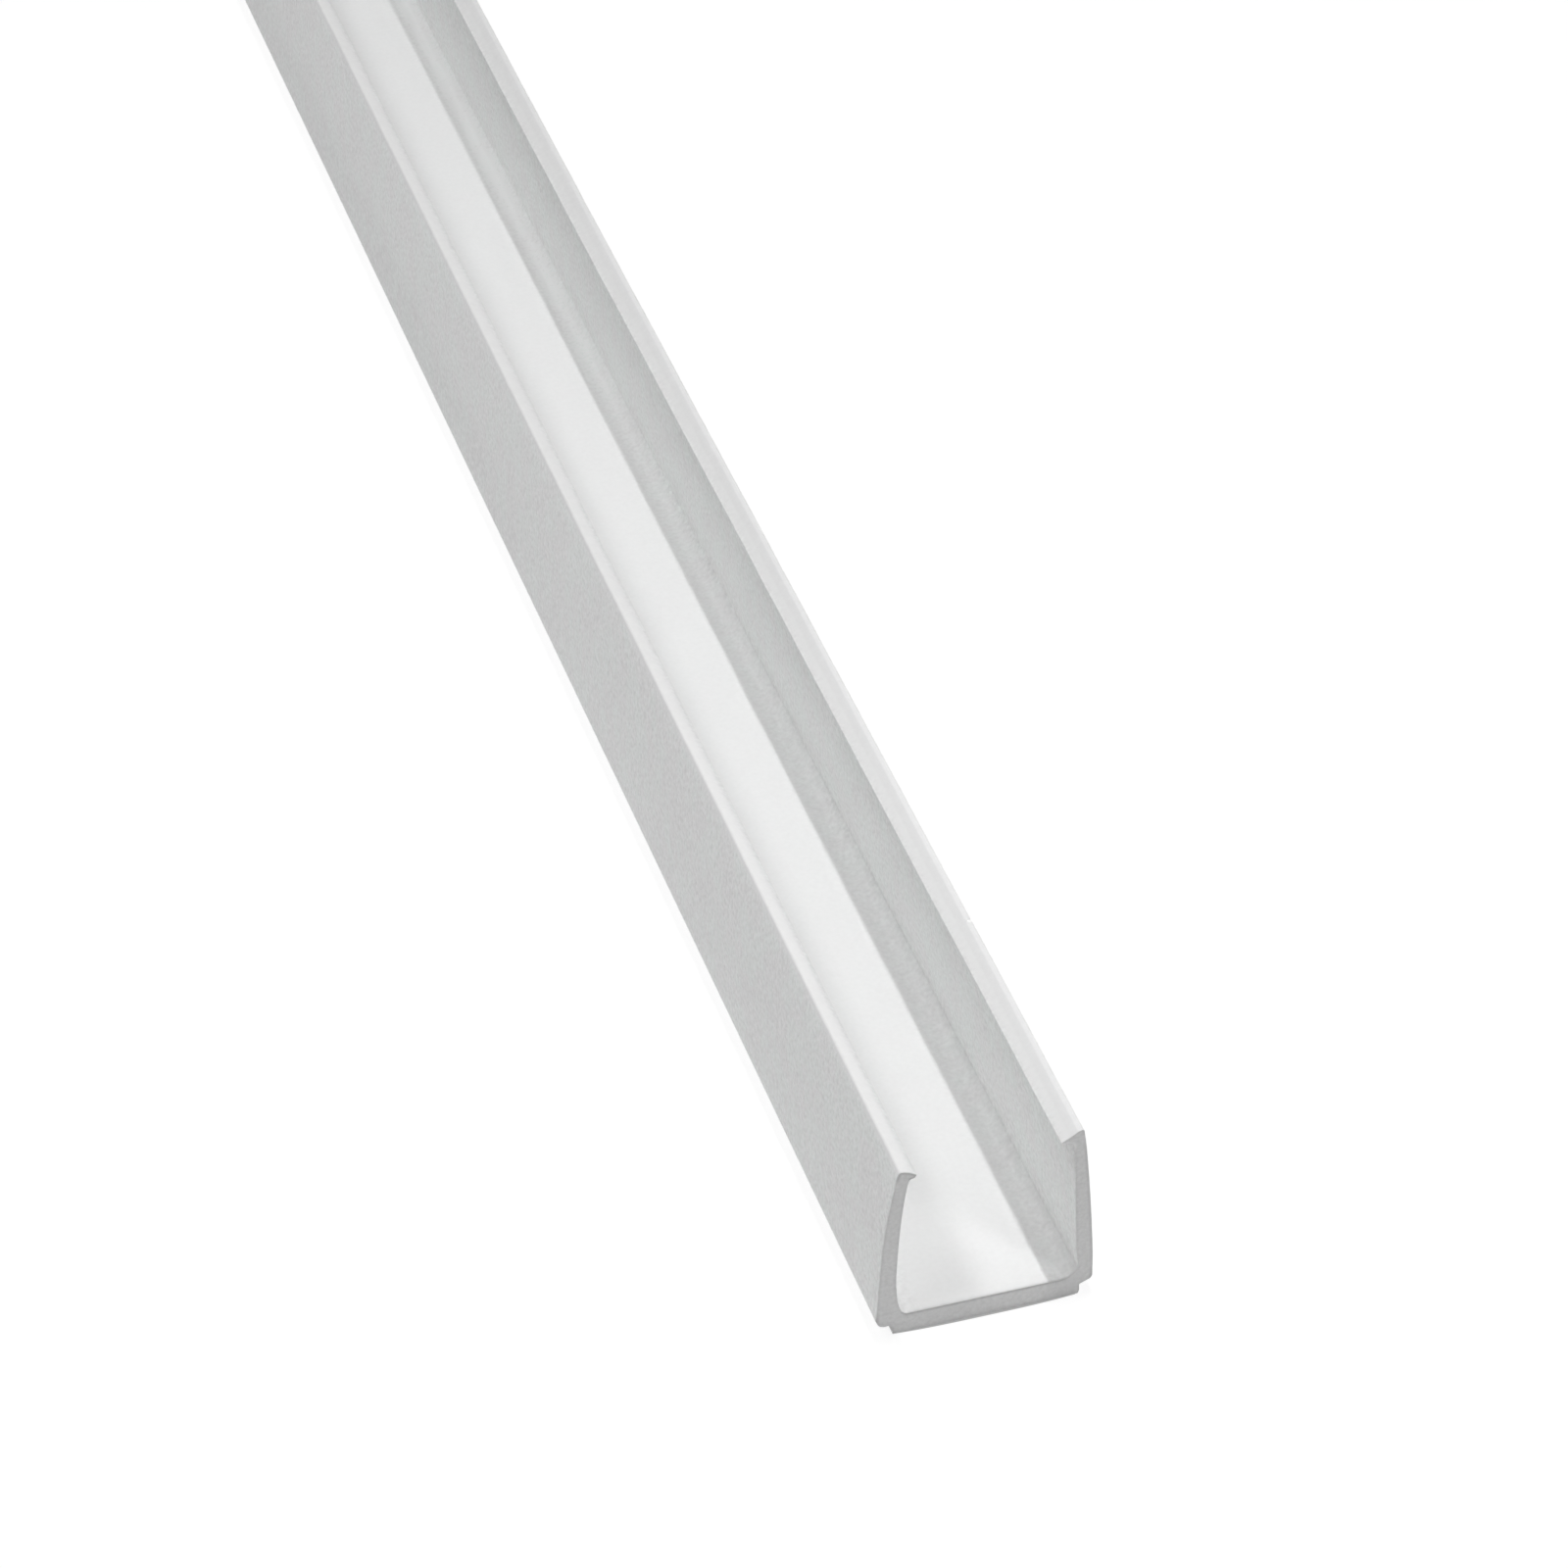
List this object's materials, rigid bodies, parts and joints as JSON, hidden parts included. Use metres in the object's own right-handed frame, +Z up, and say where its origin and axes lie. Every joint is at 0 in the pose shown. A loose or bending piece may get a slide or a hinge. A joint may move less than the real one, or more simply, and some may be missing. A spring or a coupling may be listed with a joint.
{
  "type": "led strip profile",
  "caption": "Straight white plastic channel with a flat base on a thin mounting pad and two inward-bent walls ending in hooked lips that hold an LED strip or tube.",
  "frame": {"origin": "middle of the mounting pad's underside, half-way along the length", "axes": "+Y along the length, +X across the width, +Z up from the pad towards the open mouth"},
  "size_m": [0.02, 0.5, 0.0191],
  "materials": {
    "white_pvc": "satin white rigid PVC, extruded, with sawn ends"
  },
  "bodies": {
    "root": {"channel_profile": "white_pvc"}
  },
  "joints": []
}
